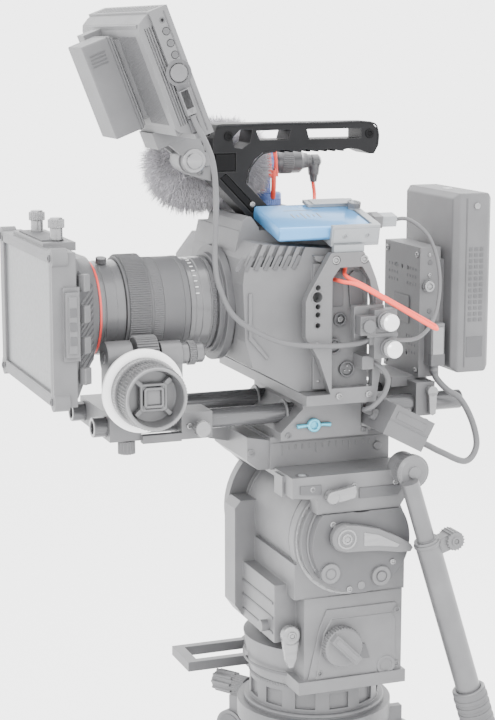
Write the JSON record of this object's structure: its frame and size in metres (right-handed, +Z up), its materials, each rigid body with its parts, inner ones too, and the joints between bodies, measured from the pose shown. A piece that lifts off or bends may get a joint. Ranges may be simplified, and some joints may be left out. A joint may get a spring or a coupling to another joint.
{
  "type": "cinema camera rig",
  "caption": "Digital cinema camera in a cage on a fluid head and tripod, with lens, matte box, follow focus, top handle, monitor, microphone, drive and battery.",
  "frame": {"origin": "on the floor, under the middle of the object's outer box", "axes": "+Z up, -X the way the lens looks, +Y the camera's right-hand side"},
  "size_m": [0.463, 0.4072, 0.9542],
  "materials": {
    "tripod_paint": "satin dark paint",
    "leg_tube": "anodised tube",
    "leg_foot": "anodised tube with a rubber foot",
    "dark_plastic": "moulded, finely grained",
    "head_paint": "textured grey paint",
    "bright_metal": "bright turned metal",
    "bar_tube": "anodised tube",
    "grip_rubber": "soft black grip",
    "plate_alloy": "anodised",
    "lever_blue": "pale blue anodised",
    "rod_finish": "smooth dark tube",
    "camera_shell": "fine grained composite",
    "lens_finish": "satin black",
    "focus_rubber": "ribbed rubber",
    "matte_box_shell": "matt",
    "filter_glass": "clear flat glass",
    "wheel_finish": "anodised",
    "marking_white": "white, can be written on",
    "handle_black": "near-black fine grain",
    "monitor_shell": "moulded",
    "monitor_battery_shell": "moulded",
    "mic_metal": "satin",
    "fur": "long grey fur",
    "mount_blue": "blue-grey anodised",
    "ssd_blue": "light blue anodised",
    "battery_shell": "moulded",
    "power_box_shell": "moulded",
    "clamp_black": "anodised",
    "cable_grey": "flexible jacket",
    "cable_coral": "coral red jacket"
  },
  "bodies": {
    "stand": {"tripod_bowl": "tripod_paint", "pan_base": "tripod_paint"},
    "carry_handle": {"carry_handle": "tripod_paint"},
    "bowl_clamp": {"bowl_clamp_knob": "dark_plastic"},
    "upper_1": {"leg_upper_1": "leg_tube"},
    "lower_1": {"leg_lower_1": "leg_foot"},
    "upper_2": {"leg_upper_2": "leg_tube"},
    "lower_2": {"leg_lower_2": "leg_foot"},
    "upper_3": {"leg_upper_3": "leg_tube"},
    "lower_3": {"leg_lower_3": "leg_foot"},
    "pan": {"pan_housing": "head_paint"},
    "pan_drag": {"pan_drag_knob": "dark_plastic"},
    "pan_lock": {"pan_lock_lever": "bright_metal"},
    "tilt": {"tilt_cradle": "head_paint", "drum_end_cap": "head_paint"},
    "tilt_lock": {"tilt_lock_lever": "head_paint"},
    "plate_lock": {"plate_lock_lever": "bright_metal"},
    "pan_bar": {"pan_bar": "bar_tube", "pan_bar_grip": "grip_rubber"},
    "rig": {"sliding_plate": "plate_alloy", "rod_baseplate": "plate_alloy", "rods": "rod_finish", "camera_body": "camera_shell", "cage": "plate_alloy", "lens_barrel": "lens_finish", "matte_box": "matte_box_shell", "filter_glass": "filter_glass", "follow_focus_body": "plate_alloy", "top_handle": "handle_black", "monitor_mount": "bar_tube", "mic_body": "mic_metal", "mic_windscreen": "fur", "mic_mount": "mount_blue", "ssd": "ssd_blue", "ssd_clamp": "plate_alloy", "battery_plate": "battery_shell", "power_box": "power_box_shell", "cable_clamp": "clamp_black", "cable_clamp_screws": "bright_metal", "monitor_cable": "cable_grey", "mic_cable": "cable_coral", "ssd_cable": "cable_grey", "power_cable_battery": "cable_grey", "power_cable_camera": "cable_grey"},
    "baseplate_lever": {"baseplate_lever": "lever_blue"},
    "focus_ring": {"focus_ring": "focus_rubber"},
    "drive": {"focus_drive_gear": "wheel_finish"},
    "wheel": {"focus_wheel": "wheel_finish", "marking_disc": "marking_white"},
    "follow_clamp": {"follow_clamp_knob": "dark_plastic"},
    "matte_knob_far": {"matte_knob_far": "bright_metal"},
    "matte_knob_near": {"matte_knob_near": "bright_metal"},
    "monitor": {"monitor": "monitor_shell"},
    "button_1": {"monitor_button_1": "monitor_shell"},
    "button_2": {"monitor_button_2": "monitor_shell"},
    "button_3": {"monitor_button_3": "monitor_shell"},
    "dial": {"monitor_dial": "dark_plastic"},
    "monitor_battery": {"monitor_battery": "monitor_battery_shell"},
    "v_battery": {"v_battery": "battery_shell"},
    "rear_clamp_lever": {"rear_clamp_lever": "bright_metal"}
  },
  "joints": [
    {"name": "carry_handle_hinge", "type": "hinge", "parent": "stand", "child": "carry_handle", "pos_m": [-0.0145, 0.096, 0.415], "axis": [0, 1, 0], "range_deg": [0, 35]},
    {"name": "bowl_clamp_turn", "type": "hinge", "parent": "stand", "child": "bowl_clamp", "pos_m": [-0.03741, 0.05472, 0.399], "axis": [-0.5592, 0.829, 0], "continuous": true},
    {"name": "leg_1_fold", "type": "hinge", "parent": "stand", "child": "upper_1", "pos_m": [0.0635, 0, 0.372], "axis": [0, 1, 0], "range_deg": [0, 18]},
    {"name": "leg_1_slide", "type": "slide", "parent": "upper_1", "child": "lower_1", "axis": [0.3802, 0, -0.9249], "range_m": [0, 0.12]},
    {"name": "leg_2_fold", "type": "hinge", "parent": "stand", "child": "upper_2", "pos_m": [-0.0325, 0.05543, 0.372], "axis": [-0.866, -0.5, 0], "range_deg": [0, 18]},
    {"name": "leg_2_slide", "type": "slide", "parent": "upper_2", "child": "lower_2", "axis": [-0.1901, 0.3293, -0.9249], "range_m": [0, 0.12]},
    {"name": "leg_3_fold", "type": "hinge", "parent": "stand", "child": "upper_3", "pos_m": [-0.0325, -0.05543, 0.372], "axis": [0.866, -0.5, 0], "range_deg": [0, 18]},
    {"name": "leg_3_slide", "type": "slide", "parent": "upper_3", "child": "lower_3", "axis": [-0.1901, -0.3293, -0.9249], "range_m": [0, 0.12]},
    {"name": "pan", "type": "hinge", "parent": "stand", "child": "pan", "pos_m": [-0.0005, 0, 0.44], "axis": [0, 0, 1], "range_deg": [-150, 120]},
    {"name": "pan_drag_turn", "type": "hinge", "parent": "pan", "child": "pan_drag", "pos_m": [-0.0065, -0.07, 0.472], "axis": [0, 1, 0], "range_deg": [-150, 150]},
    {"name": "pan_lock_turn", "type": "hinge", "parent": "pan", "child": "pan_lock", "pos_m": [-0.0425, -0.05, 0.48], "axis": [0, 1, 0], "range_deg": [0, 60]},
    {"name": "tilt", "type": "hinge", "parent": "pan", "child": "tilt", "pos_m": [0.0035, 0, 0.556], "axis": [0, 1, 0], "range_deg": [-30, 12]},
    {"name": "tilt_lock_turn", "type": "hinge", "parent": "tilt", "child": "tilt_lock", "pos_m": [-0.0105, -0.08, 0.562], "axis": [0, 1, 0], "range_deg": [0, 60]},
    {"name": "plate_lock_turn", "type": "hinge", "parent": "tilt", "child": "plate_lock", "pos_m": [-0.0205, -0.08, 0.594], "axis": [0, 1, 0], "range_deg": [-40, 0]},
    {"name": "pan_bar_angle", "type": "hinge", "parent": "tilt", "child": "pan_bar", "pos_m": [0.0415, -0.088, 0.61], "axis": [0, 1, 0], "range_deg": [-40, 0]},
    {"name": "plate_slide", "type": "slide", "parent": "tilt", "child": "rig", "axis": [1, 0, 0], "range_m": [-0.02, 0.02]},
    {"name": "baseplate_lever_turn", "type": "hinge", "parent": "rig", "child": "baseplate_lever", "pos_m": [-0.0245, -0.054, 0.644], "axis": [0, 1, 0], "range_deg": [0, 90]},
    {"name": "focus_turn", "type": "hinge", "parent": "rig", "child": "focus_ring", "pos_m": [-0.1405, 0, 0.734], "axis": [1, 0, 0], "range_deg": [0, 120]},
    {"name": "drive_gear_turn", "type": "hinge", "parent": "rig", "child": "drive", "pos_m": [-0.1405, -0.046, 0.70422], "axis": [1, 0, 0], "range_deg": [-330, 0]},
    {"name": "focus_wheel_turn", "type": "hinge", "parent": "rig", "child": "wheel", "pos_m": [-0.1635, -0.08, 0.683], "axis": [0, 1, 0], "range_deg": [0, 330]},
    {"name": "follow_clamp_turn", "type": "hinge", "parent": "rig", "child": "follow_clamp", "pos_m": [-0.1665, -0.036, 0.635], "axis": [0, 0, 1], "continuous": true},
    {"name": "matte_knob_far_turn", "type": "hinge", "parent": "rig", "child": "matte_knob_far", "pos_m": [-0.2155, 0.025, 0.795], "axis": [0, 0, 1], "continuous": true},
    {"name": "matte_knob_near_turn", "type": "hinge", "parent": "rig", "child": "matte_knob_near", "pos_m": [-0.2155, -0.032, 0.795], "axis": [0, 0, 1], "continuous": true},
    {"name": "monitor_tilt", "type": "hinge", "parent": "rig", "child": "monitor", "pos_m": [-0.1055, 0, 0.842], "axis": [0, 1, 0], "range_deg": [-35, 8], "deforming": ["monitor_cable"]},
    {"name": "button_1_press", "type": "slide", "parent": "monitor", "child": "button_1", "axis": [0, 1, 0], "range_m": [0, 0.0008], "stiffness_N_per_m": 300, "springref_m": -0.001},
    {"name": "button_2_press", "type": "slide", "parent": "monitor", "child": "button_2", "axis": [0, 1, 0], "range_m": [0, 0.0008], "stiffness_N_per_m": 300, "springref_m": -0.001},
    {"name": "button_3_press", "type": "slide", "parent": "monitor", "child": "button_3", "axis": [0, 1, 0], "range_m": [0, 0.0008], "stiffness_N_per_m": 300, "springref_m": -0.001},
    {"name": "monitor_dial_turn", "type": "hinge", "parent": "monitor", "child": "dial", "pos_m": [-0.13744, -0.077, 0.90759], "axis": [0, 1, 0], "continuous": true},
    {"name": "monitor_battery_slide", "type": "slide", "parent": "monitor", "child": "monitor_battery", "axis": [-0.3633, 0, 0.9317], "range_m": [0, 0.012]},
    {"name": "battery_slide", "type": "slide", "parent": "rig", "child": "v_battery", "axis": [0, 0, 1], "range_m": [0, 0.03]},
    {"name": "rear_clamp_turn", "type": "hinge", "parent": "rig", "child": "rear_clamp_lever", "pos_m": [0.0795, -0.043, 0.6605], "axis": [0, 1, 0], "range_deg": [0, 80]}
  ],
  "couplings": [
    {"joint": "drive_gear_turn", "follows": "focus_turn", "ratio": -2.6333},
    {"joint": "focus_wheel_turn", "follows": "focus_turn", "ratio": 2.6333}
  ]
}
